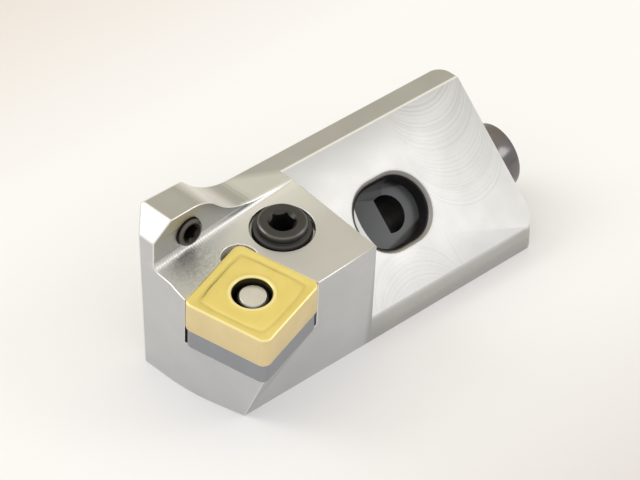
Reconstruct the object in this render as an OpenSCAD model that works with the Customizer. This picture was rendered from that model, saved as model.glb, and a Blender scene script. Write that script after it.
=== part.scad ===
// Cartridge turning tool holder, right-hand, with a lever-clamped square insert.
// Millimetres. Sizes are set from the tool's own reference: X runs from the cutting
// tip to the rear, Y from the tip to the back locating face, Z up from the base.

/* [Reference] */
// Height of the cutting edge above the base
edge_h = 16; // [14:0.5:18]
// Distance from the cutting tip to the back locating face
edge_f = 25; // [24:0.5:28]
// Distance from the cutting tip to the rear face of the body
body_l = 54.2; // [52:0.1:60]
// Entry angle of the front cutting edge
entry_angle = 75; // [73:1:77]
// Downward tilt of the insert along each of its two cutting edges
rake = 6; // [4:0.5:7]

/* [Insert] */
// Side of the square insert
insert_l = 12.7; // [12.2:0.1:13]
// Thickness of the insert
insert_t = 4.76; // [4.4:0.02:5]
// Corner radius of the insert
insert_r = 1.2; // [0.4:0.1:1.6]
// Diameter of the insert's hole
insert_hole = 5.16; // [5.1:0.02:5.4]
// Width of the flat land along each edge
land_w = 0.3; // [0.2:0.05:0.5]
// Width of the chip groove inside the land
groove_w = 1.1; // [0.8:0.1:1.4]
// Depth of the chip groove
groove_d = 0.2; // [0.1:0.05:0.3]

/* [Shim] */
// Thickness of the shim under the insert
shim_t = 3.18; // [3:0.02:3.6]
// How far the shim stands back from each side of the insert
shim_set = 0.25; // [0.1:0.05:0.5]
// Corner radius of the shim
shim_r = 1; // [0.5:0.1:1.5]
// Outside diameter of the split pin that locates the shim
pin_od = 6.6; // [6.5:0.1:7.2]
// Wall of the split pin
pin_wall = 0.6; // [0.4:0.05:0.7]
// How far the split pin goes into the pocket floor
pin_depth = 2; // [1.5:0.1:2.2]
// Width of the split
pin_slit = 1; // [0.6:0.1:1.5]
// Metal between the end of the split pin and the lever's channel
channel_web = 0.8; // [0.6:0.1:1]

/* [Head] */
// Height of the lug above the base
lug_h = 25; // [24:0.5:27]
// Distance of the lug's inner wall behind the tip, along the shelf
wall_set = 19.1; // [18.8:0.1:19.8]
// Turn of the lug's inner wall towards the back
lug_skew = 2.2; // [0:0.1:4]
// Fillet between the shelf and the lug
shelf_fillet = 0.9; // [0.5:0.1:1.4]
// Distance of the shelf under the insert's top
shelf_down = 0.2; // [0:0.05:0.4]
// Distance from the tip back to where the lug's ramp starts
ramp_start = 4; // [3.4:0.1:5]
// Slope of the ramp from the lug down to the strip
ramp_angle = 44; // [38:1:50]
// Radius at the top of the ramp
ramp_top_r = 6; // [4:0.5:7]
// Radius at the foot of the ramp
ramp_foot_r = 10; // [6:0.5:11]
// Start of the lug's front chamfer behind the tip
nose_start = 0.3; // [0:0.1:1]
// Slope of the lug's front chamfer
nose_angle = 40; // [30:1:50]
// Chamfer along the lug's upper back edge
lug_chamfer = 1.4; // [0.5:0.1:2]
// Distance of the front face ahead of the tip, along the shelf
front_set = 2.2; // [1.8:0.1:2.8]
// Distance of the near side behind the tip, along the shelf
side_set = 3.7; // [3.2:0.1:4.2]
// Radius that blends the front face into its angled part
front_blend = 30; // [15:1:40]
// Distance behind the tip at which the front corner's chamfer meets the back face
front_corner = 1.2; // [0:0.1:1.6]
// Distance from the tip to the rear end of the shelf
shelf_l = 22.2; // [21.5:0.1:23]

/* [Body] */
// Height of the strip along the back
strip_h = 20; // [19.5:0.1:21]
// Width of that strip
strip_w = 3.35; // [2.5:0.05:4]
// Radius of the rear corners
rear_corner = 2; // [0.5:0.1:2.5]
// Chamfer along the lower back corner
seat_chamfer = 1; // [0.5:0.1:1.5]

/* [Mounting hole] */
// Distance from the tip to the middle of the oblong recess
hole_x = 34.4; // [34:0.1:36]
// Length of the straight stretch of the recess
hole_run = 2.5; // [2:0.1:3]
// Width of the recess at the slanted face
rim_w = 10; // [9.6:0.1:10.6]
// Width of the recess at its seat
seat_w = 8.7; // [8:0.1:9]
// Depth of the chamfered rim
rim_d = 0.9; // [0.5:0.1:1.2]
// Depth of the seat under the slanted face
seat_d = 2.4; // [2:0.1:4]
// Diameter of the screw's passage
passage_d = 5.3; // [5:0.1:5.5]
// Offset of the passage from the middle of the recess, towards the rear
passage_shift = 0.7; // [0.4:0.1:1]
// Distance from the passage's axis to its flat front side
passage_flat = 1; // [0.6:0.1:1.6]

/* [Pocket] */
// Radius of the relief in the pocket's inner corner
relief_r = 2.4; // [2:0.1:2.8]
// How far the relief's centre stands in from the pocket's rear wall
relief_u = 2; // [1.7:0.1:2.1]
// How far it stands in from the pocket's inner wall
relief_v = 1.6; // [1.5:0.1:1.9]

/* [Lever clamp] */
// Distance from the insert's hole to the clamping screw
reach = 12.4; // [12.2:0.1:13.2]
// Direction of the lever, from the insert's side
lever_dir = 15; // [12:1:18]
// Diameter of the lever's head inside the insert
lever_head = 4.1; // [3.9:0.05:4.2]
// Diameter of the lever's neck inside the shim pin
lever_neck = 3.3; // [3:0.1:3.5]
// How far the lever's head ends below the insert's top
lever_down = 0.9; // [0.6:0.1:1.5]
// Width of the lever's arm
arm_w = 4; // [3.4:0.1:4.4]
// Height of the lever's arm
arm_h = 3; // [2.6:0.1:3.2]
// Height of the tongue at the arm's end
tongue_h = 2; // [1.6:0.1:2.2]
// Length of the tongue before it starts to thicken into the arm
tongue_l = 1; // [0.8:0.1:1.6]
// Height above the insert's underside at which the lever's head is full
head_flare = 1; // [0.6:0.1:1.4]
// Depth under the insert at which the neck starts to flare
neck_flare = 0.4; // [0.2:0.1:0.6]
// Swing of the lever from clamped to released, in degrees
lever_swing = 4; // [2:0.5:4]
// Thread diameter of the clamping screw
screw_d = 8; // [7.6:0.1:8]
// Diameter of the boss on top of the clamping screw
boss_d = 6.6; // [6:0.1:6.8]
// Height of the boss above the shelf
boss_up = 1.1; // [0.8:0.1:1.6]
// Diameter of the clamping screw's neck
neck_d = 4.2; // [3.8:0.1:4.6]
// Height of the collar under that neck
collar_h = 2.2; // [1.6:0.1:2.4]
// Diameter of that collar
collar_d = 6.4; // [6:0.1:6.8]
// Width across flats of the clamping screw's socket
screw_key = 3; // [2.5:0.5:3]
// Depth of that socket
screw_key_h = 5; // [3:0.5:6]
// Depth of the shallow counterbore around the clamping screw
bore_rim = 0.7; // [0.5:0.1:1.2]
// How much wider that counterbore is than the thread, on each side
bore_step = 0.25; // [0.1:0.05:0.5]

/* [Radial screw] */
// Thread diameter of the radial adjusting screw
radial_d = 4; // [3.8:0.1:4.2]
// Length of the radial adjusting screw, which stands proud of the lug's wall
radial_l = 7; // [6.6:0.1:7.2]
// Distance from the tip back to its axis
radial_x = 3.5; // [3.4:0.1:3.8]
// Distance of its axis under the top of the lug
radial_down = 3.6; // [3.3:0.1:3.8]
// Width across flats of its socket
radial_key = 2; // [1.5:0.5:2]
// Depth of its socket
radial_key_h = 2.4; // [2:0.1:3]

/* [Axial screw] */
// Thread diameter of the axial adjusting screw
axial_d = 6; // [5:1:6]
// Length of its thread
axial_l = 12; // [10:1:12]
// Diameter of its head
axial_head = 9.8; // [9:0.1:10]
// Height of its head
axial_head_h = 4.2; // [4:0.1:6]
// Distance of its axis from the back face
axial_back = 7.2; // [6.8:0.1:8]
// Height of its axis above the base
axial_z = 6.8; // [6.4:0.1:7.2]
// Width across flats of its socket
axial_key = 4; // [3:1:5]
// Depth of its socket
axial_key_h = 2.5; // [2:0.1:3]
// How far its tapped hole goes past its end
axial_room = 1; // [0.5:0.5:3]

/* [Fits] */
// Radial clearance of a screw in its hole
screw_fit = 0.05; // [0.02:0.01:0.08]
// Clearance around pieces that swing
swing_gap = 0.3; // [0.25:0.05:0.4]
// Clearance between the clamped lever's head and the insert's hole
head_fit = 0.05; // [0.03:0.01:0.1]
// Chamfer on the screws' ends
screw_chamfer = 0.4; // [0.2:0.05:0.5]
// Chamfer around the screws' sockets and the lever's head
rim_chamfer = 0.3; // [0.1:0.05:0.4]
// Number of segments in a full circle
$fn = 96; // [48:8:144]

/* [Hidden] */
eps = 0.01;
far = 90;
// How far a cut runs out past the face that it opens
past = 3;

// Plan turn of the insert, and the slope of the plane it lies in
lead = 90 - entry_angle;
dip = atan(sqrt(2) * tan(rake));
dip_dir = lead + 45;
// The same slope seen along X and along Y
lean_x = asin(sin(dip) * cos(dip_dir));
lean_y = asin(sin(dip) * sin(dip_dir));

// Near side of the base
near_y = (side_set + edge_h * sin(lean_y)) / cos(lean_y);

// The part's own origin: the middle of the base
mid_x = body_l / 2;
mid_y = (edge_f + near_y) / 2;

// Stack under the insert's top
floor_n = -(insert_t + shim_t);
pin_hole = pin_od - 2 * pin_wall;
channel_n = floor_n - pin_depth - channel_web;
arm_lift = reach * tan(lever_swing);
arm_n = channel_n - arm_lift - swing_gap;
tongue_n = arm_n - (arm_h - tongue_h) / 2;
groove_top = tongue_n + swing_gap;
groove_end = tongue_n - tongue_h - swing_gap;
screw_end = groove_end - collar_h;
pivot_n = arm_n - arm_h / 2;
head_push = (insert_hole - lever_head) / 2 - head_fit;
tongue_end = reach - neck_d / 2 - swing_gap;

// Slanted face: it falls at 45 degrees from the strip's edge
slant_y = edge_f - strip_w - strip_h;
hole_y = (edge_f + slant_y) / 2;
hole_z = hole_y - slant_y;

// Ramp from the lug to the strip
ramp_drop = lug_h - strip_h;
ramp_arcs = ramp_top_r + ramp_foot_r;
ramp_run = ramp_arcs * sin(ramp_angle)
    + (ramp_drop - ramp_arcs * (1 - cos(ramp_angle))) / tan(ramp_angle);
ramp_end = ramp_start + ramp_run;

// Frames
module at_origin() {
    translate([-mid_x, -mid_y, 0]) children();
}

module tilted() {
    translate([0, 0, edge_h])
        rotate([0, 0, dip_dir]) rotate([0, -dip, 0]) rotate([0, 0, -dip_dir]) children();
}

module seat_frame() {
    tilted() rotate([0, 0, lead]) children();
}

module lever_frame() {
    seat_frame() translate([insert_l / 2, insert_l / 2, 0]) rotate([0, 0, lever_dir]) children();
}

module hole_frame() {
    translate([hole_x, hole_y, hole_z]) rotate([45, 0, 0]) children();
}

module radial_frame() {
    translate([radial_x, edge_f, lug_h - radial_down]) rotate([-90, 0, 0]) children();
}

module axial_frame() {
    translate([body_l, edge_f - axial_back, axial_z]) rotate([0, 90, 0]) children();
}

// Shapes
module rounded_square(l, r) {
    translate([r, 0]) square([l - 2 * r, l]);
    translate([0, r]) square([l, l - 2 * r]);
    for (x = [r, l - r], y = [r, l - r]) translate([x, y]) circle(r);
}

module slot(run, r1, r2, h) {
    for (s = [-1, 1]) translate([s * run / 2, 0, 0]) cylinder(h = h, r1 = r1, r2 = r2);
    rotate([90, 0, 90])
        translate([0, 0, -run / 2])
        linear_extrude(run) polygon([[-r1, 0], [r1, 0], [r2, h], [-r2, h]]);
}

module hex_socket(flats, depth) {
    r = flats / sqrt(3);
    c = rim_chamfer;
    cylinder(h = depth, r = r, $fn = 6);
    cylinder(h = c, r1 = r + c / 2, r2 = r - c / 2);
}

module screw_blank(d, l) {
    c = screw_chamfer;
    rotate_extrude() polygon([[0, 0], [d / 2 - c, 0], [d / 2, c], [d / 2, l - c], [d / 2 - c, l], [0, l]]);
}

// What lies outside a rounded upright edge at the origin
module outside_corner(r) {
    difference() {
        translate([-far, -far, -far]) cube([far + r, far + r, 2 * far]);
        translate([r, r, -far]) cylinder(h = 2 * far, r = r);
        translate([0, r, -far]) cube([far, far, 2 * far]);
        translate([r, 0, -far]) cube([far, far, 2 * far]);
    }
}

// Holder body
module ridge() {
    top = [ramp_start, lug_h - ramp_top_r];
    foot = [ramp_end, strip_h + ramp_foot_r];
    turn = [sin(ramp_angle), cos(ramp_angle)];
    translate([0, edge_f, 0]) rotate([90, 0, 0]) difference() {
        union() {
            linear_extrude(edge_f) polygon([[-far, 0], [-far, lug_h], [ramp_start, lug_h], top,
                top + ramp_top_r * turn, foot - ramp_foot_r * turn, [ramp_end, strip_h],
                [body_l, strip_h], [body_l, 0]]);
            translate(top) cylinder(h = edge_f, r = ramp_top_r);
        }
        translate([foot.x, foot.y, -past]) cylinder(h = edge_f + 2 * past, r = ramp_foot_r);
    }
}

// Outline of the head, square to the shelf: front face, blend, angled part and near side
module head_sides() {
    corner = [-front_set, side_set + front_set / tan(lead)];
    blend = front_blend * tan(lead / 2);
    middle = corner + [front_blend, blend];
    tilted() translate([0, 0, -far / 2]) intersection() {
        linear_extrude(far)
            polygon([[0, side_set], [far, side_set], [far, far], [-front_set, far], corner]);
        union() {
            linear_extrude(far) polygon([[0, side_set], [far, side_set], [far, far],
                [-front_set, far], corner + [0, blend], middle, corner + blend * [sin(lead), -cos(lead)]]);
            translate(middle) cylinder(h = far, r = front_blend, $fn = 4 * $fn);
        }
    }
}

module body_blank() {
    intersection() {
        ridge();
        head_sides();
    }
}

module corner_cuts() {
    // Upright chamfer of the front corner at the back face
    translate([front_corner, edge_f, 0]) rotate([0, 0, 45])
        translate([-far, 0, -far]) cube([2 * far, far, 2 * far]);
    // Rear corners
    translate([body_l, near_y, 0]) mirror([1, 0, 0]) outside_corner(rear_corner);
    translate([body_l, edge_f, 0]) mirror([1, 0, 0]) mirror([0, 1, 0]) outside_corner(rear_corner);
}

module edge_cuts() {
    // Front chamfer of the lug
    translate([nose_start, -far / 2, lug_h]) rotate([0, -nose_angle, 0])
        translate([-far, 0, 0]) cube([2 * far, far * 2, far]);
    // Upper back edge of the lug
    translate([-far, edge_f - lug_chamfer, lug_h]) rotate([-45, 0, 0])
        translate([0, -far, 0]) cube([2 * far, 2 * far, far]);
    // Lower back corner of the body
    translate([-far, edge_f - seat_chamfer, 0]) rotate([45, 0, 0])
        translate([0, -far, -far]) cube([2 * far, 2 * far, far]);
}

// Line of the lug's inner wall, square to the shelf like the other sides of the head
module wall_frame() {
    tilted() translate([0, wall_set, 0]) rotate([0, 0, lug_skew]) children();
}

module shelf_side(back, up) {
    intersection() {
        tilted() translate([-far, -far, up - shelf_down]) cube([far + shelf_l, 2 * far, far]);
        wall_frame() translate([-far, -2 * far - back, -far]) cube([2 * far, 2 * far, 2 * far]);
    }
}

module shelf_cut() {
    f = shelf_fillet;
    shelf_side(f, 0);
    shelf_side(0, f);
    intersection() {
        shelf_side(0, -f);
        wall_frame() translate([-far, -f, f - shelf_down]) rotate([0, 90, 0])
            cylinder(h = 2 * far, r = f);
    }
}

// Slanted face and upright near side of the rear part
module slant_cut() {
    intersection() {
        tilted() translate([shelf_l, -far, -far]) cube([far, 2 * far, 2 * far]);
        union() {
            translate([0, slant_y, 0]) rotate([45, 0, 0])
                translate([-far, -far, 0]) cube([2 * far, 2 * far, far]);
            translate([-far, near_y - 2 * far, -far]) cube([2 * far, 2 * far, 2 * far]);
        }
    }
}

module pocket_cut() {
    seat_frame() {
        translate([-far, -far, floor_n]) cube([far + insert_l, far + insert_l, far]);
        translate([insert_l - relief_u, insert_l - relief_v, floor_n])
            cylinder(h = far, r = relief_r);
    }
}

module mounting_hole() {
    hole_frame() {
        translate([0, 0, -rim_d]) slot(hole_run, seat_w / 2, rim_w / 2, rim_d);
        recess_mouth();
        translate([0, 0, -seat_d]) slot(hole_run, seat_w / 2, seat_w / 2, seat_d);
        translate([passage_shift, 0, 0]) intersection() {
            translate([0, 0, -far / 2]) cylinder(h = far / 2 - eps, r = passage_d / 2);
            translate([-passage_flat, -far / 2, -far / 2]) cube([far, far, far]);
        }
    }
}

// Clears the air above the rim, so that the recess opens cleanly
module recess_mouth() {
    slot(hole_run, rim_w / 2, rim_w / 2, past);
}

module lever_room() {
    lever_frame() {
        translate([0, 0, floor_n - pin_depth]) cylinder(h = pin_depth + eps, r = pin_od / 2);
        translate([0, 0, channel_n - eps]) cylinder(h = far, r = pin_hole / 2 + swing_gap / 2);
        lever_channel();
        translate([reach, 0, -far]) cylinder(h = far + channel_n, r = screw_d / 2 + swing_gap);
        translate([reach, 0, channel_n - eps]) cylinder(h = far, r = screw_d / 2);
        translate([reach, 0, -shelf_down - bore_rim]) cylinder(h = far, r = screw_d / 2 + bore_step);
    }
}

// The channel that the lever lies in, open at the base, with a round front end
module lever_channel() {
    w = arm_w + 2 * swing_gap;
    translate([0, 0, -far]) cylinder(h = far + channel_n, r = w / 2);
    translate([0, -w / 2, -far]) cube([reach, w, far + channel_n]);
}

module holder_body() {
    color("silver") at_origin() difference() {
        body_blank();
        corner_cuts();
        edge_cuts();
        shelf_cut();
        slant_cut();
        pocket_cut();
        mounting_hole();
        lever_room();
        radial_frame() translate([0, 0, wall_set - edge_f - past])
            cylinder(h = edge_f - wall_set + 2 * past, r = radial_d / 2);
        axial_frame() translate([0, 0, -axial_l - axial_room])
            cylinder(h = axial_l + axial_room + past, r = axial_d / 2);
    }
}

// Insert
module groove_plate(inset, low, high) {
    translate([inset, inset, low]) linear_extrude(high - low)
        rounded_square(insert_l - 2 * inset, max(insert_r - inset, land_w), $fn = 32);
}

// Chip groove inside the land: both of its flanks slope down to its floor
module groove_ring() {
    inner = land_w + groove_w;
    difference() {
        hull() {
            groove_plate(land_w, 0, eps);
            groove_plate(land_w + groove_w / 2, -groove_d, eps);
        }
        hull() {
            groove_plate(inner, -eps, past);
            groove_plate(inner - groove_w / 4, -groove_d - eps, -groove_d);
        }
    }
}

module insert() {
    color("khaki") at_origin() seat_frame() difference() {
        translate([0, 0, -insert_t]) linear_extrude(insert_t) rounded_square(insert_l, insert_r);
        translate([insert_l / 2, insert_l / 2, -insert_t - eps])
            cylinder(h = insert_t + 2 * eps, r = insert_hole / 2);
        groove_ring();
        translate([0, 0, -insert_t]) mirror([0, 0, 1]) groove_ring();
    }
}

// Shim
module shim() {
    l = insert_l - 2 * shim_set;
    color("slategray") at_origin() seat_frame() difference() {
        translate([shim_set, shim_set, floor_n]) linear_extrude(shim_t) rounded_square(l, shim_r);
        translate([insert_l / 2, insert_l / 2, floor_n - eps])
            cylinder(h = shim_t + 2 * eps, r = pin_od / 2);
    }
}

module shim_pin() {
    h = pin_depth + shim_t - swing_gap;
    color("gray") at_origin() lever_frame() translate([0, 0, floor_n - pin_depth]) difference() {
        cylinder(h = h, r = pin_od / 2);
        translate([0, 0, -eps]) cylinder(h = h + 2 * eps, r = pin_hole / 2);
        translate([-pin_od, -pin_slit / 2, -eps]) cube([pin_od, pin_slit, h + 2 * eps]);
    }
}

// Lever
module lever() {
    r = lever_head / 2;
    n = lever_neck / 2;
    tip = tongue_end - head_push;
    top = arm_n - tongue_n;
    color("lightgray") at_origin() lever_frame() {
        translate([head_push, 0, 0]) rotate_extrude() polygon([[0, pivot_n], [n, pivot_n],
            [n, -insert_t - neck_flare], [r, -insert_t + head_flare], [r, -lever_down - rim_chamfer],
            [r - rim_chamfer, -lever_down], [0, -lever_down]]);
        translate([head_push, 0, arm_n - arm_h]) cylinder(h = arm_h, r = arm_w / 2);
        translate([head_push, 0, arm_n]) rotate([-90, 0, 0]) translate([0, 0, -arm_w / 2])
            linear_extrude(arm_w) polygon([[0, 0], [reach / 2, 0], [tip - tongue_l, top],
                [tip, top], [tip, top + tongue_h], [tip - tongue_l, top + tongue_h],
                [reach / 2, arm_h], [0, arm_h]]);
    }
}

module lever_screw() {
    r = screw_d / 2 - screw_fit;
    c = screw_chamfer;
    b = boss_d / 2;
    k = neck_d / 2;
    e = collar_d / 2;
    color("dimgray") at_origin() lever_frame() translate([reach, 0, 0]) difference() {
        rotate_extrude() polygon([[0, screw_end], [e - c, screw_end], [e, screw_end + c], [e, groove_end],
            [k, groove_end], [k, groove_top], [r - c, groove_top], [r, groove_top + c], [r, -c],
            [r - c, 0], [b, 0], [b, boss_up - c], [b - c, boss_up], [0, boss_up]]);
        translate([0, 0, boss_up]) mirror([0, 0, 1]) hex_socket(screw_key, screw_key_h);
    }
}

// Adjusting screws
module radial_screw() {
    color("dimgray") at_origin() radial_frame() translate([0, 0, -radial_l]) difference() {
        screw_blank(radial_d - 2 * screw_fit, radial_l);
        hex_socket(radial_key, radial_key_h);
    }
}

module axial_screw() {
    d = axial_d - 2 * screw_fit;
    c = screw_chamfer;
    h = axial_head / 2;
    color("dimgray") at_origin() axial_frame() difference() {
        rotate_extrude() polygon([[0, -axial_l], [d / 2 - c, -axial_l], [d / 2, -axial_l + c], [d / 2, 0],
            [h - c / 2, 0], [h, c / 2], [h, axial_head_h - c], [h - c, axial_head_h], [0, axial_head_h]]);
        translate([0, 0, axial_head_h]) mirror([0, 0, 1]) hex_socket(axial_key, axial_key_h);
    }
}

holder_body();
insert();
shim();
shim_pin();
lever();
lever_screw();
radial_screw();
axial_screw();
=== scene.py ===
import math

import bmesh
import bpy
from mathutils import Matrix, Vector


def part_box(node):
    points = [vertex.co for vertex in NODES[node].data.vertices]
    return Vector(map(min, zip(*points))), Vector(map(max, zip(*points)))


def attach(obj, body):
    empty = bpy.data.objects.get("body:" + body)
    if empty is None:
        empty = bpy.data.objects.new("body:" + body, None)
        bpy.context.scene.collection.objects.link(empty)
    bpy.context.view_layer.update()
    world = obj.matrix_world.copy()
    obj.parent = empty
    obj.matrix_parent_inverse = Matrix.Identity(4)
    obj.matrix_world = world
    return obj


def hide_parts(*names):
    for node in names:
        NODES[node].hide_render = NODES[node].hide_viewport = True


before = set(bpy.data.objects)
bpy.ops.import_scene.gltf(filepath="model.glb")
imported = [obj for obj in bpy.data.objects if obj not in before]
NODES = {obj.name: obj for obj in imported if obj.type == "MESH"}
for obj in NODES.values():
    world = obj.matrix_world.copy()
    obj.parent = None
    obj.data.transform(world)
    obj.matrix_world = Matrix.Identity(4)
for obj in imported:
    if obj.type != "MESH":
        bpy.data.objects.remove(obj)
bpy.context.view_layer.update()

MM = 0.001


# Places and sizes, in millimetres from the part's own origin --------------------------------

def turn(axis, degrees):
    return Matrix.Rotation(math.radians(degrees), 4, axis)


# The insert's seat: its origin is the sharp tip, and its X and Y follow the cutting edges
TIP = Vector((-27.1, -15.39215577, 16))
LEAD, RAKE = 15, 6
DIP = math.degrees(math.atan(math.sqrt(2) * math.tan(math.radians(RAKE))))
TILT = turn("Z", LEAD + 45) @ turn("Y", -DIP) @ turn("Z", -LEAD - 45)
SEAT = Matrix.Translation(TIP) @ TILT @ turn("Z", LEAD)
FLOOR, SHELF = -7.94, -0.2
INSERT_L, INSERT_T, INSERT_R, HOLE_R = 12.7, 4.76, 1.2, 2.58
CENTRE = SEAT @ Matrix.Translation((INSERT_L / 2, INSERT_L / 2, 0))
RELIEF_AT, RELIEF_R = (10.7, 11.1), 2.6

# The lever: X runs from the insert's centre to the clamping screw
LEVER = CENTRE @ turn("Z", 15)
REACH = 12.4

# The recess: X along the body, Y up the slanted face and Z out of it
RECESS_AT = (7.3, -2.06715577, 11.675)
RECESS = Matrix.Translation(RECESS_AT) @ turn("X", 45)
SLOPE_UP, SLOPE_OUT = (0, 0.7071, 0.7071), (0, -0.7071, 0.7071)
SLOT_HALF = 1.26

# The radial screw's bore, in X and Z
RADIAL_AT = (-23.6, 21.4)


# Materials ----------------------------------------------------------------------------------

class Nodes:
    """Builds a node tree. Values may be numbers, tuples or other nodes' outputs."""

    def __init__(self, tree):
        self.tree = tree
        self.coordinates = self.node("ShaderNodeTexCoord").outputs
        self.place = self.coordinates["Object"]

    def node(self, kind, **settings):
        made = self.tree.nodes.new(kind)
        for key, value in settings.items():
            setattr(made, key, value)
        return made

    def put(self, socket, value):
        if isinstance(value, bpy.types.NodeSocket):
            self.tree.links.new(value, socket)
        elif isinstance(value, tuple) and len(value) == 3 and socket.type == "RGBA":
            socket.default_value = (*value, 1)
        else:
            socket.default_value = value

    def math(self, operation, *values, clamp=False):
        made = self.node("ShaderNodeMath", operation=operation, use_clamp=clamp)
        for socket, value in zip(made.inputs, values):
            self.put(socket, value)
        return made.outputs[0]

    def total(self, first, *others):
        for value in others:
            first = self.math("ADD", first, value)
        return first

    def product(self, first, *others):
        for value in others:
            first = self.math("MULTIPLY", first, value)
        return first

    def minus(self, first, second):
        return self.math("SUBTRACT", first, second)

    def size(self, value):
        return self.math("ABSOLUTE", value)

    def hypot(self, first, second):
        return self.math("SQRT", self.total(self.product(first, first), self.product(second, second)))

    def vector(self, operation, *values):
        made = self.node("ShaderNodeVectorMath", operation=operation)
        for socket, value in zip(made.inputs, values):
            self.put(socket, value)
        return made.outputs["Value" if operation in ("LENGTH", "DISTANCE", "DOT_PRODUCT") else "Vector"]

    def axes(self, vector=None):
        made = self.node("ShaderNodeSeparateXYZ")
        self.put(made.inputs[0], vector or self.place)
        return made.outputs

    def scaled(self, x, y, z):
        made = self.node("ShaderNodeMapping")
        self.put(made.inputs["Vector"], self.place)
        made.inputs["Scale"].default_value = (x, y, z)
        return made.outputs[0]

    def noise(self, scale, detail, where=None, rough=0.5):
        made = self.node("ShaderNodeTexNoise")
        self.put(made.inputs["Vector"], where or self.place)
        made.inputs["Scale"].default_value = scale
        made.inputs["Detail"].default_value = detail
        made.inputs["Roughness"].default_value = rough
        return made.outputs["Fac"]

    def span(self, value, low, high, to_low=0, to_high=1):
        """Maps low to to_low and high to to_high, and stays at those outside."""
        made = self.node("ShaderNodeMapRange")
        for socket, part in zip(made.inputs, (value, low, high, to_low, to_high)):
            self.put(socket, part)
        return made.outputs[0]

    def within(self, value, out_low, low, high, out_high):
        """1 from low to high, falling to 0 at the outer two."""
        return self.product(self.span(value, out_low, low), self.span(value, out_high, high))

    def line(self, value, middle, half_width):
        """1 at the middle, falling to 0 at half_width from it."""
        return self.span(self.size(self.minus(value, middle)), 0.0, half_width, 1.0, 0.0)

    def mix(self, factor, first, second, blend="MIX"):
        made = self.node("ShaderNodeMix", data_type="RGBA", blend_type=blend)
        self.put(made.inputs[0], factor)
        self.put(made.inputs[6], first)
        self.put(made.inputs[7], second)
        return made.outputs[2]

    def toned(self, color, tone):
        """A colour times a grey tone."""
        grey = self.node("ShaderNodeCombineColor")
        for socket in grey.inputs[:3]:
            self.put(socket, tone)
        return self.mix(1.0, color, grey.outputs[0], "MULTIPLY")

    def attribute(self, name):
        return self.node("ShaderNodeAttribute", attribute_name=name).outputs["Fac"]

    def bump(self, height, strength, depth, normal=None):
        """Bumps that are up to depth millimetres high."""
        made = self.node("ShaderNodeBump")
        self.put(made.inputs["Height"], height)
        made.inputs["Strength"].default_value = strength
        made.inputs["Distance"].default_value = depth * MM
        if normal:
            self.put(made.inputs["Normal"], normal)
        return made.outputs[0]


class Surface(Nodes):
    """A material and its nodes."""

    def __init__(self, name, metallic):
        self.material = bpy.data.materials.new(name)
        self.material.use_nodes = True
        super().__init__(self.material.node_tree)
        self.shader = self.tree.nodes["Principled BSDF"]
        self.shader.inputs["Metallic"].default_value = metallic

    def done(self, color, roughness, normal):
        self.put(self.shader.inputs["Base Color"], color)
        self.put(self.shader.inputs["Roughness"], roughness)
        self.put(self.shader.inputs["Normal"], normal)
        return self.material


def metal_with_wear_and_highlight(name, base, edge, rough, metallic=1.0, grain=(9000, 9000, 9000), spread=0.05,
               edge_rough=None):
    """A metal with cloudy colour, fine grain, and smoother, brighter edges: partly wear and partly a
    painted highlight.
    """
    g = Surface(name, metallic)
    cloud = g.noise(260, 3)
    fine = g.noise(1, 3, g.scaled(*grain))
    wear_and_highlight = g.attribute("wear_and_highlight")
    tone = g.product(g.span(cloud, 0.3, 0.7, 1 - spread, 1 + spread),
                     g.span(fine, 0.3, 0.7, 1 - spread / 2, 1 + spread / 2))
    # The roundings take the edge colour: partly wear, partly a painted highlight
    color = g.mix(wear_and_highlight, g.toned(base, tone), edge)
    smoother = (edge_rough or rough * 0.7) / rough
    roughness = g.product(g.span(cloud, 0.3, 0.7, rough * 0.85, rough * 1.15),
                          g.span(wear_and_highlight, 0, 1, 1, smoother))
    return g.done(color, roughness, g.bump(fine, 0.12, 0.02))


# The face mill's passes on the slanted face, by the recess's X and Y: the middle of the path, the
# side that the arcs bulge to, where they begin and end, and a place in the noise
PASSES = ((13.3, 1, 3.0, 22.0, 0.0), (-2.5, -1, -12.0, -24.0, 40.0))
CUTTER_R_SQUARED = 55.5
PATH_OUT, PATH_IN = 7.4, 6.9
STEP_AT = 5.7


def mill_marks(g, u, v):
    """Arcs of the cutter's own radius, spaced at random, and the step between the two passes."""
    wobble = g.product(g.noise(160, 1), 0.25)
    passes = []
    for middle, side, first, last, seed in PASSES:
        across = g.minus(u, middle)
        left = g.minus(CUTTER_R_SQUARED, g.product(across, across))
        reach = g.math("SQRT", g.math("MAXIMUM", left, 0.0))
        stop = g.total(v, g.product(reach, side), wobble)
        feed = g.node("ShaderNodeTexNoise", noise_dimensions="1D")
        g.put(feed.inputs["W"], g.total(stop, seed))
        feed.inputs["Scale"].default_value = 1.6
        feed.inputs["Detail"].default_value = 3
        lines = g.span(g.size(g.minus(feed.outputs["Fac"], 0.5)), 0.0, 0.055, -0.9, 0.3)
        on_path = g.span(g.size(across), PATH_OUT, PATH_IN)
        begun = g.span(stop, first - 0.06 * side, first + 0.06 * side)
        ended = g.span(stop, last, last - 3 * side)
        first_line = g.line(stop, first + 0.12 * side, 0.2)
        passes.append(g.minus(g.product(lines, on_path, begun, ended),
                              g.product(first_line, on_path, 1.3)))
    step = g.product(g.line(u, STEP_AT, 0.14), g.span(v, -5.2, -6.2))
    return g.minus(g.total(*passes), step)


def from_slot(g, along, across):
    """Distance from the line between the centres of a slot's two ends."""
    past = g.math("MAXIMUM", g.minus(g.size(along), SLOT_HALF), 0.0)
    return g.hypot(past, across)


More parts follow.
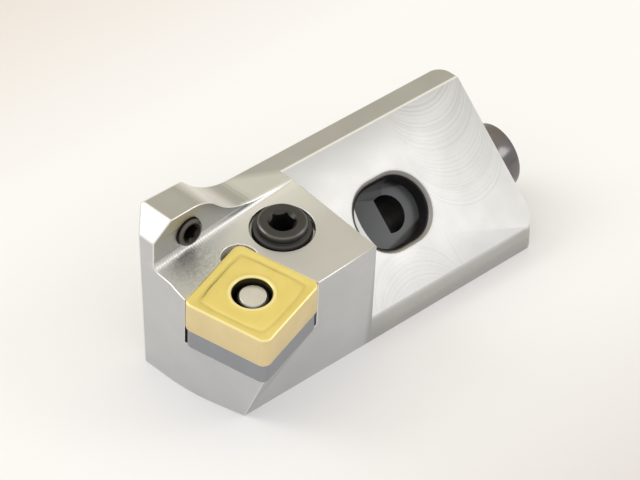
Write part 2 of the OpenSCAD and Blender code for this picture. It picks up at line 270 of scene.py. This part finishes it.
def paint_recess_shade(g, color, u, v, depth):
    """Paints shade into the recess: a darker rim, a near black inside and a grey seat. Returns the
    colour, and a mask of where the inside's shade is painted.
    """
    away = from_slot(g, u, v)
    passage = g.hypot(g.minus(u, 0.7), v)
    above_seat = g.span(depth, -2.7, -2.6)
    inside = g.product(g.span(depth, -0.36, -0.44), g.span(away, 5.2, 5.0),
                       g.math("MAXIMUM", above_seat, g.span(passage, 2.9, 2.75)))
    rim = g.product(g.within(depth, -0.44, -0.40, -0.06, -0.03), g.span(away, 5.35, 5.25))
    seat = g.within(depth, -2.6, -2.5, -2.38, -2.33)
    # A bright crescent on the seat, along its front end
    ahead = g.minus(u, 1.55)
    aside = g.total(v, 0.2)
    from_end = g.minus(from_slot(g, ahead, v), g.product(aside, aside, 0.065))
    crescent = g.product(g.within(from_end, 4.15, 4.25, 5.2, 5.3), g.span(ahead, -2.0, -3.0), seat)
    # Painted shade: grey on the seat with a gradient, and darkest on the walls and along the seat's
    # sides
    to_side = g.total(g.size(v), g.product(u, 0.24))
    grey = g.mix(g.span(g.minus(u, g.product(v, 1.6)), -6.0, 5.0),
                 (0.042, 0.044, 0.048), (0.085, 0.088, 0.092))
    dark = g.mix(g.product(seat, g.span(to_side, 3.9, 3.5)), (0.011, 0.010, 0.010), grey)
    # Painted shade: the rim darker than the body, darkest towards its -X end
    rim_shade = g.mix(g.span(u, -3.0, -4.5), (0.30, 0.295, 0.28), (0.16, 0.16, 0.155))
    color = g.mix(rim, color, rim_shade)
    return g.mix(inside, color, g.mix(crescent, dark, (0.75, 0.75, 0.74))), inside


# Fine ticks across the crease between the shelf and the strip behind it
TICK_PITCH = 0.42
# A mottled patch at the shelf's front: its darker tone is a painted reflection of the screw and the
# lug's wall, and its bumps are mottling
PATCH_AT, PATCH_OUT, PATCH_IN = (-24.5, 0.5, 18), 6, 2


def body_material():
    """Satin nickel-plated steel with the marks of its making, and painted light: a lit tone per face,
    painted highlights, a painted reflection on the shelf and painted shade in the recess.
    """
    g = Surface("satin_nickel", 1.0)
    cloud = g.noise(180, 3)
    fine = g.noise(7000, 2)
    blotch = g.noise(2600, 3, rough=0.65)
    wear_and_highlight = g.attribute("wear_and_highlight")
    at = g.scaled(1 / MM, 1 / MM, 1 / MM)
    x, y, z = g.axes(at)
    facing = g.node("ShaderNodeNewGeometry").outputs["True Normal"]
    face_x, face_y, face_z = g.axes(facing)

    # The slanted face: u along the body, v up the slope and depth out of the face
    from_recess = g.vector("SUBTRACT", at, RECESS_AT)
    u = g.axes(from_recess)[0]
    v = g.vector("DOT_PRODUCT", from_recess, SLOPE_UP)
    depth = g.vector("DOT_PRODUCT", from_recess, SLOPE_OUT)
    slant = g.span(g.vector("DOT_PRODUCT", facing, SLOPE_OUT), 0.985, 0.995)
    arcs = g.product(mill_marks(g, u, v), slant)

    # The shelf, parallel to the insert's top, and the crease behind it
    up = TILT.to_3x3() @ Vector((0, 0, 1))
    level = g.minus(g.vector("DOT_PRODUCT", at, tuple(up)), up.dot(TIP))
    near_level = g.within(level, -0.5, -0.3, 0.7, 0.9)
    shelf = g.product(near_level, g.span(g.vector("DOT_PRODUCT", facing, tuple(up)), 0.97, 0.995))
    patch = g.span(g.vector("DISTANCE", at, PATCH_AT), PATCH_OUT, PATCH_IN)
    phase = g.total(g.product(x, 2 * math.pi / TICK_PITCH), g.product(g.noise(900, 1), 3.0))
    ticks = g.product(g.math("SINE", phase), g.within(y, 2.2, 2.7, 4.0, 4.6), near_level,
                      g.span(x, -14, -20))

    # The relief at the pocket's inner corner, just under the shelf, painted pale as a highlight
    off = g.vector("SUBTRACT", at, tuple(SEAT @ Vector((*RELIEF_AT, 0))))
    radius = g.vector("LENGTH", g.vector("CROSS_PRODUCT", off, tuple(up)))
    relief = g.product(g.span(radius, RELIEF_R + 0.05, RELIEF_R - 0.05),
                       g.within(level, -2.2, -1.2, -0.40, -0.36))

    # The metal's colour, with painted light: the base, lit tones with painted gradients on the slanted
    # face and the shelf, a painted highlight on the crease, a lighter near side and front, and a
    # painted highlight on the ramp
    base = g.mix(g.span(g.noise(60, 2), 0.35, 0.65), (0.465, 0.465, 0.45), (0.485, 0.48, 0.46))
    # Painted light: a lit tone for the slanted face, with a gradient across it
    slant_painted_light = g.mix(g.span(g.minus(u, g.product(v, 0.8)), 4.0, 18.0),
                        (0.585, 0.58, 0.565), (0.53, 0.525, 0.51))
    base = g.mix(slant, base, slant_painted_light)
    # Painted light: a lit tone for the shelf, lighter towards the crease
    shelf_painted_light = g.mix(g.span(y, -4, 3), (0.58, 0.575, 0.55), (0.72, 0.725, 0.69))
    base = g.mix(shelf, base, shelf_painted_light)
    # Painted highlight: a bright band along the crease
    crease = g.product(near_level, g.within(y, 2.4, 3.0, 4.0, 4.6))
    base = g.mix(crease, base, (0.76, 0.755, 0.73))
    # Painted light: the near side and the front lighter than the base
    upright = g.span(g.size(face_z), 0.5, 0.3)
    near_side = g.product(g.span(x, -4.2, -5.0), upright, g.span(face_y, 0.3, -0.1),
                          g.span(y, 2.2, 1.2))
    front = g.span(face_x, -0.3, -0.8)
    base = g.mix(g.math("MAXIMUM", front, near_side), base, (0.60, 0.605, 0.61))
    # Painted highlight: the ramp's face pale
    ramp = g.product(g.span(face_x, 0.2, 0.5), g.span(z, 20.2, 20.8))
    base = g.mix(ramp, base, (0.82, 0.82, 0.80))

    # The patch's darker mottled tone is a painted reflection
    tone = g.total(g.span(cloud, 0.3, 0.7, 0.965, 1.035), g.span(arcs, -1, 1, -0.17, 0.09),
                   g.product(patch, g.span(blotch, 0.4, 0.6, -0.17, 0.05)), g.product(ticks, 0.06))
    # The roundings lighter: partly wear, partly a painted highlight
    color = g.mix(g.product(wear_and_highlight, 0.85), g.toned(base, tone), (0.86, 0.85, 0.82))
    color, inside = paint_recess_shade(g, color, u, v, depth)
    # Painted highlight: the relief pale and matt
    color = g.mix(relief, color, (0.72, 0.715, 0.70))
    g.put(g.shader.inputs["Metallic"], g.span(g.math("MAXIMUM", inside, relief), 0, 1, 1, 0.15))
    roughness = g.total(g.span(cloud, 0.3, 0.7, 0.38, 0.46), g.span(arcs, -1, 1, -0.04, 0.04),
                        g.product(wear_and_highlight, -0.06), g.product(shelf, 0.06))
    normal = g.bump(fine, 0.12, 0.02)
    normal = g.bump(arcs, 0.2, 0.012, normal)
    normal = g.bump(g.total(g.product(blotch, patch), g.product(ticks, 0.3)), 0.5, 0.06, normal)
    return g.done(color, roughness, normal)


def insert_material():
    """Pale gold coating, more matt and pinker on the sides, with painted shade near black in the hole
    and darker in the groove, and lighter edges that are partly wear, partly a painted highlight.
    """
    g = Surface("gold_coating", 0.75)
    cloud = g.noise(320, 3)
    side = g.attribute("side")
    clouded = g.span(cloud, 0.3, 0.7)
    color = g.mix(clouded, (0.765, 0.62, 0.185), (0.82, 0.685, 0.23))
    color = g.mix(side, color, g.mix(clouded, (0.75, 0.615, 0.335), (0.81, 0.67, 0.38)))
    # Lighter edges and hole rim: partly wear, partly a painted highlight
    color = g.mix(g.attribute("wear_and_highlight"), color, (0.95, 0.85, 0.45))
    # Painted shade: near black in the hole, darker in the groove
    color = g.mix(g.attribute("inside"), color, (0.035, 0.028, 0.012))
    roughness = g.total(g.span(cloud, 0.3, 0.7, 0.30, 0.36), g.product(side, 0.15))
    return g.done(color, roughness, g.bump(g.noise(9000, 2), 0.15, 0.02))


# Meshes -------------------------------------------------------------------------------------

def finish_piece(name, mesh, body, material, node):
    piece = bpy.data.objects.new(name, mesh)
    bpy.context.scene.collection.objects.link(piece)
    mesh.materials.clear()
    mesh.materials.append(material)
    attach(piece, body)
    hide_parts(node)
    return piece


def mark(mesh, name, values):
    layer = mesh.attributes.new(name, "FLOAT", "POINT")
    layer.data.foreach_set("value", values)


def shade(mesh, angle):
    mesh.shade_smooth()
    mesh.set_sharp_from_angle(angle=math.radians(angle))


# Points of a CAD mesh closer than this are one, and faces flatter to each other than this, in
# degrees, are one
SAME_POINT, SAME_FACE = 0.012, 0.25


def bevelled(node, width, segments=2, sharp=28, share=None, adjust=None):
    """A copy of a CAD node's mesh, in merged faces, with its outer edges rounded.

    adjust(bm) changes the merged mesh first, and share(edge) gives the part of the full width
    that an edge takes, from 0 to 1. The roundings are marked for wear and a painted highlight."""
    bm = bmesh.new()
    bm.from_mesh(NODES[node].data)
    bmesh.ops.scale(bm, vec=(1 / MM,) * 3, verts=bm.verts)
    bmesh.ops.remove_doubles(bm, verts=bm.verts, dist=SAME_POINT)
    bmesh.ops.dissolve_limit(bm, angle_limit=math.radians(SAME_FACE), verts=bm.verts,
                             edges=bm.edges)
    if adjust:
        adjust(bm)
    weight = bm.edges.layers.float.new("bevel_weight_edge")
    for edge in bm.edges:
        if edge.is_manifold and edge.is_convex and edge.calc_face_angle(0) > math.radians(sharp):
            edge[weight] = share(edge) if share else 1.0
    mesh = bpy.data.meshes.new(node + "_large")
    bm.to_mesh(mesh)
    bm.free()
    # A second material slot, which the rounding's faces take
    mesh.materials.append(None)
    mesh.materials.append(None)
    large = bpy.data.objects.new(node + "_large", mesh)
    bpy.context.scene.collection.objects.link(large)
    rounding = large.modifiers.new("rounding", "BEVEL")
    rounding.limit_method = "WEIGHT"
    rounding.width = width
    rounding.segments = segments
    rounding.material = 1
    rounding.use_clamp_overlap = False
    bpy.context.view_layer.update()
    shaped = bpy.data.meshes.new_from_object(
        large.evaluated_get(bpy.context.evaluated_depsgraph_get()))
    bpy.data.objects.remove(large)
    bpy.data.meshes.remove(mesh)
    bm = bmesh.new()
    bm.from_mesh(shaped)
    bpy.data.meshes.remove(shaped)
    wear_and_highlight = [1.0 if all(f.material_index == 1 for f in v.link_faces) else 0.0 for v in bm.verts]
    for f in bm.faces:
        f.material_index = 0
    bmesh.ops.scale(bm, vec=(MM,) * 3, verts=bm.verts)
    mesh = bpy.data.meshes.new(node + "_mesh")
    bm.to_mesh(mesh)
    bm.free()
    mark(mesh, "wear_and_highlight", wear_and_highlight)
    shade(mesh, 40)
    return mesh


def cad_piece(name, node, body, slot, material, width, **rounding):
    """A piece with its CAD node's mesh, with rounded edges and weighted normals."""
    piece = finish_piece(name, bevelled(node, width, **rounding), body, material, node)
    normals = piece.modifiers.new("normals", "WEIGHTED_NORMAL")
    normals.keep_sharp = True
    normals.weight = 80


ROUND_STEPS, THREAD_STEPS = 96, 10
# Parts of a pitch: the run-out at a thread's ends; and of half a pitch, its root and its flank
RUN_OUT, ROOT, FLANK = 0.8, 0.14, 0.74


def lathe(name, rows, place, wear_and_highlight=()):
    """Turns rows of (radius, height) about the local Z, and marks the rows in wear_and_highlight, for
    wear and a painted highlight.

    A radius may be a function of the angle."""
    verts, faces, marks, rings = [], [], [], []
    for index, (radius, height) in enumerate(rows):
        first = len(verts)
        if radius == 0:
            verts.append((0, 0, height))
            rings.append([first] * ROUND_STEPS)
        else:
            for k in range(ROUND_STEPS):
                angle = 2 * math.pi * k / ROUND_STEPS
                r = radius(angle) if callable(radius) else radius
                verts.append((r * math.cos(angle), r * math.sin(angle), height))
            rings.append(list(range(first, first + ROUND_STEPS)))
        marks += [1.0 if index in wear_and_highlight else 0.0] * (len(verts) - first)
    for low, high in zip(rings, rings[1:]):
        for k in range(ROUND_STEPS):
            after = (k + 1) % ROUND_STEPS
            corners = tuple(dict.fromkeys((low[k], low[after], high[after], high[k])))
            if len(corners) > 2:
                faces.append(corners)
    mesh = bpy.data.meshes.new(name)
    mesh.from_pydata([(place @ Vector(v)) * MM for v in verts], [], faces)
    mark(mesh, "wear_and_highlight", marks)
    shade(mesh, 32)
    return mesh


def hexagon(flats):
    return lambda angle: flats / 2 / math.cos(angle % (math.pi / 3) - math.pi / 6)


def socket(top, flats, depth):
    """Rows of a hexagon socket from its chamfered mouth to its drilled floor."""
    corner = flats / math.sqrt(3)
    return [(corner + 0.22, top), (corner + 0.02, top - 0.2), (hexagon(flats), top - 0.42),
            (hexagon(flats), top - depth), (flats * 0.42, top - depth),
            (flats * 0.4, top - depth - 0.1), (0, top - depth - flats * 0.22)]


def thread(low, high, radius, depth, pitch):
    """Rows of a right-hand thread that runs out at both ends."""
    rows = []
    count = max(2, round((high - low) / pitch * THREAD_STEPS))
    for k in range(count + 1):
        height = low + (high - low) * k / count
        fade = min(1, (height - low) / (RUN_OUT * pitch), (high - height) / (RUN_OUT * pitch))

        def ring(angle, height=height, fade=fade):
            phase = (height / pitch - angle / (2 * math.pi)) % 1
            tooth = min(1, max(0, (1 - abs(2 * phase - 1) - ROOT) / FLANK))
            return radius - depth * (1 - tooth) * max(0, fade)
        rows.append((ring, height))
    return rows


# Holder body --------------------------------------------------------------------------------

def body_edge(edge):
    """The part of the full rounding that an edge takes: less round the holes and the pocket."""
    ends = [v.co for v in edge.verts]
    at = (ends[0] + ends[1]) / 2
    run = SEAT.inverted().to_3x3() @ (ends[1] - ends[0]).normalized()
    seat, lever, recess = (place.inverted() @ at for place in (SEAT, LEVER, RECESS))
    if edge.calc_length() < 0.05:
        return 0.0
    # The facet under the shim's front corner
    if at.y < -9 and at.x < -24 and at.z > 0.6:
        return 0.25
    # The recess, only at its rim
    if abs(recess.z) < 3 and math.hypot(max(0, abs(recess.x) - SLOT_HALF), recess.y) < 5.4:
        return 1.0 if recess.z > -0.4 else 0.0
    # The clamping screw's hole, only at the shelf
    if math.hypot(lever.x - REACH, lever.y) < 4.9:
        return 0.4 if lever.z > -0.6 else 0.0
    # The lever's room
    if lever.z < -8.2 and at.z > 0.6:
        return 0.0
    # The relief at the pocket's inner corner
    if math.hypot(seat.x - RELIEF_AT[0], seat.y - RELIEF_AT[1]) < RELIEF_R + 0.1:
        return 0.5 if seat.z > -0.6 else 0.0
    # The pocket's own edges, which run along the seat's axes
    if max(seat.x, seat.y) < INSERT_L + 1.9 and seat.z < 0.5 and max(abs(v) for v in run) > 0.995:
        return 0.25
    # The radial screw's bore
    if at.y > 3.2 and math.hypot(at.x - RADIAL_AT[0], at.z - RADIAL_AT[1]) < 2.2:
        return 0.15
    return 0.5


# The front's upper edge by the seat's axes, at the pocket's floor and at the shelf: its x in the
# CAD, y and height, and its x as the photo has it
FRONT_EDGE = ((0.96, 8.11, FLOOR, 0.35), (0.98, 9.26, FLOOR, 0.42), (1.05, 10.41, FLOOR, 0.52),
              (1.15, 11.56, FLOOR, 0.6), (1.31, 12.7, FLOOR, 0.65), (1.31, 12.7, SHELF, 0.65),
              (1.49, 13.77, SHELF, 1.05), (1.72, 14.83, SHELF, 1.5))


def reach_under_shim(bm):
    """Carries the pocket's floor out to the shim's edges, on a facet that leans to the base."""
    def vertex(point):
        return min(bm.verts, key=lambda v: (v.co - point).length)
    low = vertex(Vector((-25.89, -9.6, 0)))
    end = vertex(SEAT @ Vector((12.7, 0.43, FLOOR)))
    tip = vertex(SEAT @ Vector((0.96, 3.57, FLOOR)))
    side = next(f for f in tip.link_faces if low in f.verts and end in f.verts)
    bmesh.utils.face_split(side, low, end)
    tip.co = SEAT @ Vector((0.6, 0.6, FLOOR))
    for x, y, height, ahead in FRONT_EDGE:
        vertex(SEAT @ Vector((x, y, height))).co = SEAT @ Vector((ahead, y, height))
    bm.normal_update()


cad_piece("body_shell", "holder_body", "holder", "body_steel", body_material(), 0.4, segments=3,
          sharp=20, share=body_edge, adjust=reach_under_shim)


# Insert -------------------------------------------------------------------------------------

ARC_STEPS, SIDE_STEPS = 12, 20
PLATEAU, PLATEAU_R = -0.05, 3.6
# How far along the edges from its corners the groove is wider and shallower
CORNER_REACH = 3.6
# Distance in from the edge, and height over the top, from the side to the plateau
PROFILE = ((0.0, -0.26), (0.03, -0.15), (0.09, -0.065), (0.18, -0.018), (0.3, 0.0), (0.45, -0.008),
           (0.62, -0.03), (0.8, -0.065), (0.96, -0.11), (1.1, -0.15), (1.22, -0.165),
           (1.32, -0.15), (1.42, -0.112), (1.52, -0.075), (1.64, -0.058), (1.9, PLATEAU))
# Radius and height of the raised rim round the hole
HOLE_RIM = ((PLATEAU_R, PLATEAU), (3.35, -0.035), (3.18, 0.0), (3.04, 0.024), (2.9, 0.03),
            (2.78, 0.01), (2.68, -0.05), (2.61, -0.14), (HOLE_R, -0.3))


def outline(half, radius):
    """Points round a square with rounded corners."""
    points = []
    for quarter in range(4):
        a, b = math.cos(quarter * math.pi / 2), math.sin(quarter * math.pi / 2)
        for k in range(ARC_STEPS + 1):
            t = k / ARC_STEPS
            x = half - radius + radius * math.cos(t * math.pi / 2)
            y = half - radius + radius * math.sin(t * math.pi / 2)
            points.append((a * x - b * y, b * x + a * y))
        for k in range(1, SIDE_STEPS):
            t = k / SIDE_STEPS
            x, y = (half - radius) * (1 - 2 * t), half
            points.append((a * x - b * y, b * x + a * y))
    return points


def nearer(point, radius, step):
    """A point moved by a part of its way to a circle, where 1 is all of it."""
    length = math.hypot(*point)
    return tuple(v * (1 - step) + radius * step * v / length for v in point)


def insert_mesh():
    half = INSERT_L / 2
    base = outline(half, INSERT_R)

    def corner(x, y):
        return max(0.0, 1 - (half - abs(x) + half - abs(y)) / CORNER_REACH)

    # Each ring: its points, their heights, and how much wear and painted highlight, painted shade and
    # side colour it takes
    rings = []
    for inset, drop in PROFILE:
        points, heights = [], []
        for k, (x, y) in enumerate(base):
            d = inset * (1 + 0.28 * corner(x, y) * min(1, inset / 0.8))
            r = max(INSERT_R - d, 0.45) if d > 0.02 else INSERT_R
            points.append(outline(half - d, r)[k])
            heights.append(drop * (1 - 0.2 * corner(x, y) * (inset > 0.3)))
        rings.append((points, heights, 0.8 if 0.02 < inset < 0.2 else 0.0,
                      0.13 if 1.05 < inset < 1.35 else 0.0, 1.0 if inset == 0 else 0.0))
    plateau = rings[-1][0]
    count = len(base)
    for step in (0.35, 0.7):
        rings.append(([nearer(p, PLATEAU_R, step) for p in plateau], [PLATEAU] * count, 0.0, 0.0, 0.0))
    for radius, drop in HOLE_RIM:
        rings.append(([nearer(p, radius, 1) for p in plateau], [drop] * count,
                      0.7 if 2.7 < radius < 3.1 else 0.0, 1.0 if radius < 2.65 else 0.0, 0.0))
    verts, marks = [], {"wear_and_highlight": [], "inside": [], "side": []}
    for points, heights, *values in rings:
        verts += [(x, y, height) for (x, y), height in zip(points, heights)]
        for kept, value in zip(marks.values(), values):
            kept += [value] * count
    # The lower half is the upper one's mirror image
    total = len(verts)
    verts += [(x, y, -INSERT_T - z) for x, y, z in verts]
    faces = []
    for ring in range(len(rings) - 1):
        for k in range(count):
            a, b = ring * count + k, ring * count + (k + 1) % count
            faces.append((a, b, b + count, a + count))
            faces.append((total + a + count, total + b + count, total + b, total + a))
    inner = (len(rings) - 1) * count
    for k in range(count):
        n = (k + 1) % count
        faces.append((total + k, total + n, n, k))
        faces.append((inner + k, inner + n, total + inner + n, total + inner + k))
    mesh = bpy.data.meshes.new("insert_mesh")
    mesh.from_pydata([(CENTRE @ Vector(v)) * MM for v in verts], [], faces)
    for name, values in marks.items():
        mark(mesh, name, values * 2)
    shade(mesh, 50)
    return mesh


finish_piece("square_insert", insert_mesh(), "holder", insert_material(), "insert")


# Shim, pin and lever ------------------------------------------------------------------------

cad_piece("carbide_shim", "shim", "holder", "bare_carbide",
          metal_with_wear_and_highlight("ground_carbide", (0.305, 0.315, 0.34), (0.45, 0.46, 0.5), 0.36, 0.9,
                     (3000, 3000, 26000)), 0.12)
cad_piece("split_pin", "shim_pin", "holder", "spring_steel",
          metal_with_wear_and_highlight("spring_steel", (0.30, 0.30, 0.30), (0.5, 0.5, 0.5), 0.4), 0.08)
cad_piece("clamp_lever_piece", "lever", "clamp_lever", "bright_steel",
          metal_with_wear_and_highlight("turned_steel", (0.66, 0.645, 0.60), (0.6, 0.59, 0.54), 0.34, 1.0,
                     (26000, 4000, 4000), 0.12), 0.05)


# Screws -------------------------------------------------------------------------------------

def box_of(node):
    """Low corner, high corner and middle of a CAD node's box, in millimetres."""
    low, high = (Vector(corner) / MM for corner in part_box(node))
    return low, high, (low + high) / 2


def clamp_screw_mesh():
    """Its collar, the groove that the lever's arm sits in, its thread, and a boss with a socket."""
    radius, boss, boss_top, neck, collar = 3.95, 3.3, 1.1, 2.1, 3.2
    groove_top, groove_end, end = -12.1071, -14.7071, -16.9071
    rows = [(0, end), (collar - 0.4, end), (collar, end + 0.4), (collar, groove_end - 0.1),
            (collar - 0.1, groove_end), (neck, groove_end), (neck, groove_top),
            (radius - 0.5, groove_top)]
    rows += thread(groove_top + 0.45, -0.42, radius, 0.55, 1.0)
    rows += [(radius - 0.12, -0.14), (radius - 0.42, 0.0), (boss + 0.06, 0.0), (boss, 0.06),
             (boss, boss_top - 0.42)]
    boss_edge = len(rows)
    rows += [(boss - 0.1, boss_top - 0.16), (boss - 0.34, boss_top)]
    rows += socket(boss_top, 3.0, 5.0)
    return lathe("clamp_screw_mesh", rows, LEVER @ Matrix.Translation((REACH, 0, 0)), [boss_edge])


def radial_screw_mesh():
    """A set screw: its socket is in the lug's wall and its flat end is level with the back."""
    low, high, middle = box_of("radial_screw")
    radius, length = (high.x - low.x) / 2, high.y - low.y
    flats, depth = 2.0, 2.4
    place = Matrix.Translation((middle.x, high.y, middle.z)) @ turn("X", -90)
    rows = [(0, -length + depth + 0.5)]
    rows += [(r, -length - z) for r, z in reversed(socket(0, flats, depth)[:-1])]
    rim = len(rows)
    rows += [(radius - 0.34, -length), (radius - 0.1, -length + 0.13), (radius, -length + 0.36)]
    rows += thread(-length + 0.4, -0.4, radius, 0.36, 0.7)
    rows += [(radius - 0.15, -0.1), (radius - 0.4, 0.0), (0, 0.0)]
    return lathe("radial_screw_mesh", rows, place, (rim, rim + 1))


def axial_screw_mesh():
    """A cap screw, with its head's flat end at the box's high X."""
    low, high, middle = box_of("axial_screw")
    head, head_height, radius, length = 4.9, 4.2, 2.95, 12.0
    place = Matrix.Translation((high.x - head_height, middle.y, middle.z)) @ turn("Y", 90)
    rows = [(0, -length), (radius - 0.5, -length), (radius - 0.25, -length + 0.2)]
    rows += thread(-length + 0.3, -0.6, radius, 0.5, 1.0)
    rows += [(radius - 0.2, -0.4), (radius - 0.2, 0.0), (head - 0.3, 0.0), (head - 0.08, 0.07),
             (head, 0.3), (head, head_height - 0.5), (head - 0.12, head_height - 0.18),
             (head - 0.42, head_height)]
    rows += socket(head_height, 4.0, 2.5)
    return lathe("axial_screw_mesh", rows, place)


finish_piece("clamp_screw_piece", clamp_screw_mesh(), "clamp_screw",
             metal_with_wear_and_highlight("black_oxide", (0.06, 0.058, 0.055), (0.16, 0.16, 0.155), 0.34, 0.85,
                        (7000, 7000, 7000), 0.10, 0.26), "lever_screw")
finish_piece("radial_screw_piece", radial_screw_mesh(), "radial_adjuster",
             metal_with_wear_and_highlight("dark_oxide", (0.022, 0.019, 0.017), (0.13, 0.12, 0.11), 0.36, 0.6,
                        (6000, 6000, 6000), 0.10, 0.24), "radial_screw")
finish_piece("axial_screw_piece", axial_screw_mesh(), "axial_adjuster",
             metal_with_wear_and_highlight("polished_gunmetal", (0.18, 0.165, 0.168), (0.5, 0.5, 0.5), 0.2, 1.0,
                        (30000, 2500, 2500), 0.10), "axial_screw")


# Stage --------------------------------------------------------------------------------------

scene = bpy.context.scene
scene.view_settings.view_transform = "Standard"


def floor_material():
    """Pale and matt, darker and warmer towards the viewer and the back, with a faint glow."""
    g = Surface("pale_floor", 0.0)
    y = g.axes()[1]
    pale = g.mix(g.span(y, -0.02, -0.07), (1.0, 0.99, 0.985), (0.74, 0.69, 0.67))
    pale = g.mix(g.span(y, 0.045, 0.10), pale, (0.82, 0.75, 0.68))
    g.put(g.shader.inputs["Base Color"], g.toned(pale, 0.775))
    g.shader.inputs["Roughness"].default_value = 0.9
    g.shader.inputs["Specular IOR Level"].default_value = 0.1
    # The glow shows to the camera and in reflections, and lights nothing else
    paths = g.node("ShaderNodeLightPath").outputs
    shown = g.math("ADD", paths["Is Camera Ray"], paths["Is Glossy Ray"], clamp=True)
    glow = g.node("ShaderNodeEmission")
    g.put(glow.inputs["Color"], pale)
    g.put(glow.inputs["Strength"], g.product(shown, 0.12))
    both = g.node("ShaderNodeAddShader")
    g.put(both.inputs[0], g.shader.outputs[0])
    g.put(both.inputs[1], glow.outputs[0])
    output = next(n for n in g.tree.nodes if n.type == "OUTPUT_MATERIAL")
    g.put(output.inputs["Surface"], both.outputs[0])
    return g.material


floor_mesh = bpy.data.meshes.new("floor_mesh")
floor_mesh.from_pydata([(-3, -3, 0), (3, -3, 0), (3, 3, 0), (-3, 3, 0)], [], [(0, 1, 2, 3)])
floor_mesh.materials.append(floor_material())
floor = bpy.data.objects.new("floor", floor_mesh)
scene.collection.objects.link(floor)

# A pale sky, warmer to one side and brighter overhead
WARM_SIDE = (0.543, 0.575, 0.612)
world = bpy.data.worlds.new("studio")
scene.world = world
world.use_nodes = True
sky = world.node_tree.nodes["Background"]
g = Nodes(world.node_tree)
ray = g.coordinates["Generated"]
warm = g.span(g.vector("DOT_PRODUCT", ray, WARM_SIDE), 0.35, 0.95)
g.put(sky.inputs["Color"], g.mix(warm, (0.97, 0.965, 0.96), (0.95, 0.89, 0.74)))
g.put(sky.inputs["Strength"], g.span(g.axes(ray)[2], 0.5, 0.9, 0.88, 1.12))

BOX_DISTANCE, BOX_RADIANCE, BOX_AIM = 0.6, 2.4, Vector((0, 0, 0.012))


def softbox(name, direction, size):
    light = bpy.data.lights.new(name, "AREA")
    light.shape = "SQUARE"
    light.size = size
    light.energy = BOX_RADIANCE * math.pi * size * size
    lamp = bpy.data.objects.new(name, light)
    towards = Vector(direction).normalized()
    lamp.location = towards * BOX_DISTANCE + BOX_AIM
    lamp.rotation_euler = towards.to_track_quat("Z", "Y").to_euler()
    scene.collection.objects.link(lamp)


softbox("right_box", (0.585, -0.595, 0.55), 0.22)
softbox("left_box", (-0.51, 0.575, 0.64), 0.3)


# Camera, as fitted to the photo: angles, millimetres and the photo's pixels -----------------

AZIMUTH, ELEVATION, ROLL = math.radians(43.3433), math.radians(37.7543), math.radians(0.4584)
DISTANCE, FOCAL, OFF_X, OFF_Y, WIDTH = 456.28, 3483.48, 27.72, 15.594, 640
SENSOR = 36
# What it looks at was found from the point of the base below the tip
target = Vector((25, 12, 10)) + Vector((TIP.x, TIP.y, 0))
ahead = Vector((math.sin(AZIMUTH) * math.cos(ELEVATION), math.cos(AZIMUTH) * math.cos(ELEVATION),
                -math.sin(ELEVATION)))
level = Vector((math.cos(AZIMUTH), -math.sin(AZIMUTH), 0))
above = level.cross(ahead)
right = level * math.cos(ROLL) + above * math.sin(ROLL)
upward = above * math.cos(ROLL) - level * math.sin(ROLL)
lens = bpy.data.cameras.new("camera")
lens.sensor_width = SENSOR
lens.lens = FOCAL / WIDTH * SENSOR
lens.shift_x = -OFF_X / WIDTH
lens.shift_y = OFF_Y / WIDTH
lens.clip_start = 0.01
camera = bpy.data.objects.new("camera", lens)
camera.matrix_world = Matrix.Translation((target - ahead * DISTANCE) * MM) @ Matrix(
    (right, upward, -ahead)).transposed().to_4x4()
scene.collection.objects.link(camera)
scene.camera = camera
